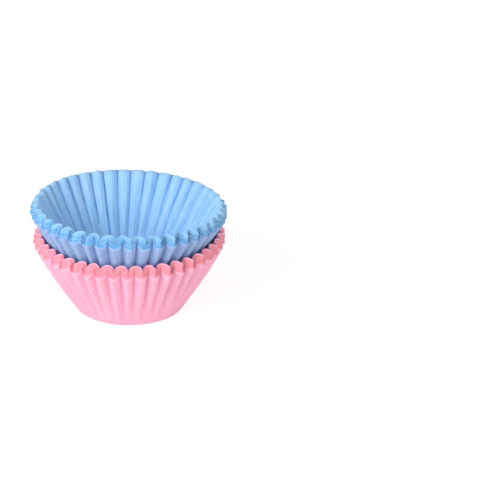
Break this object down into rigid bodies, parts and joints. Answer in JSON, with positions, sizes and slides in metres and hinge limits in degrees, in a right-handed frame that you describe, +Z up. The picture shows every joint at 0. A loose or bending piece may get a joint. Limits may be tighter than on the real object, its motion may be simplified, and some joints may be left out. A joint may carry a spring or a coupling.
{
  "type": "stack of cupcake liners",
  "caption": "Nested fluted paper liners for mini cupcakes: a blue nest standing a little crooked inside a pink nest, with flat round bases and pleated walls that flare to a wavy rim.",
  "frame": {"origin": "centre of the outermost pink liner's flat base, on the surface that the stack stands on", "axes": "+Z up along the pink nest's axis, -Y the pictured front, +X to the right as seen from the front"},
  "size_m": [0.0581, 0.0581, 0.034],
  "materials": {
    "pink_paper": "matt pastel pink baking paper, a little translucent",
    "blue_paper": "matt sky-blue baking paper, a little translucent"
  },
  "bodies": {
    "root": {"pink_liner_01": "pink_paper", "pink_liner_02": "pink_paper", "pink_liner_03": "pink_paper", "pink_liner_04": "pink_paper", "pink_liner_05": "pink_paper", "pink_liner_06": "pink_paper", "pink_liner_07": "pink_paper", "blue_liner_01": "blue_paper", "blue_liner_02": "blue_paper", "blue_liner_03": "blue_paper", "blue_liner_04": "blue_paper", "blue_liner_05": "blue_paper", "blue_liner_06": "blue_paper", "blue_liner_07": "blue_paper"}
  },
  "joints": []
}
